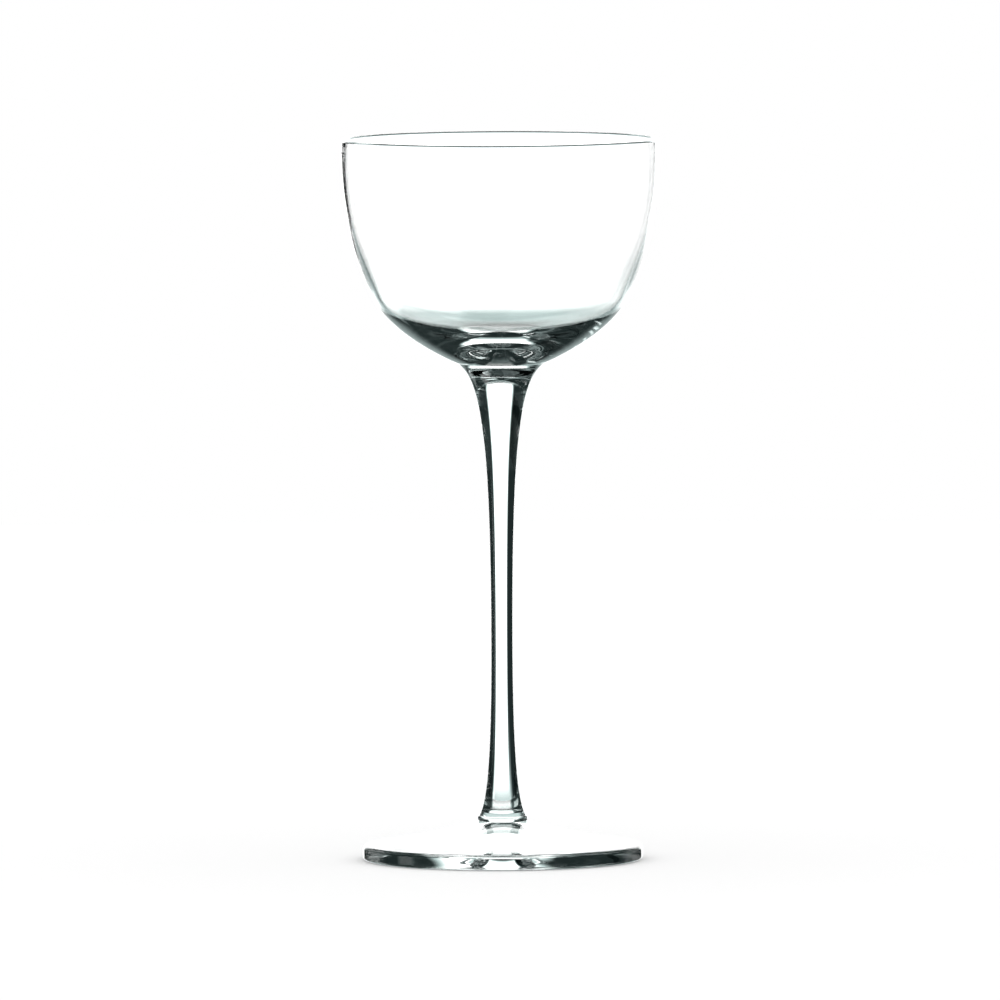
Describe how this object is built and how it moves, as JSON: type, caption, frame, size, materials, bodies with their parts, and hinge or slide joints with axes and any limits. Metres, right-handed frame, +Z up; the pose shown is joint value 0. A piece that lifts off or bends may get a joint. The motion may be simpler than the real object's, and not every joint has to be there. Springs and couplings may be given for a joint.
{
  "type": "cocktail glass",
  "caption": "Stemmed cocktail glass with a round coupe-like bowl, a slender stem flared under the bowl, a small collar and a round foot; holds a short chilled drink.",
  "frame": {"origin": "centre of the foot's underside, on the plane that the glass stands on", "axes": "+Z up along the axis of revolution, from the foot to the rim; +X and +Y are level, and the glass looks the same from every side"},
  "size_m": [0.0752, 0.0752, 0.17],
  "materials": {
    "clear_glass": "clear fire-polished soda-lime glass with a faint green cast in its thick parts"
  },
  "bodies": {
    "root": {"bowl": "clear_glass", "stem": "clear_glass", "collar": "clear_glass", "foot": "clear_glass"}
  },
  "joints": []
}
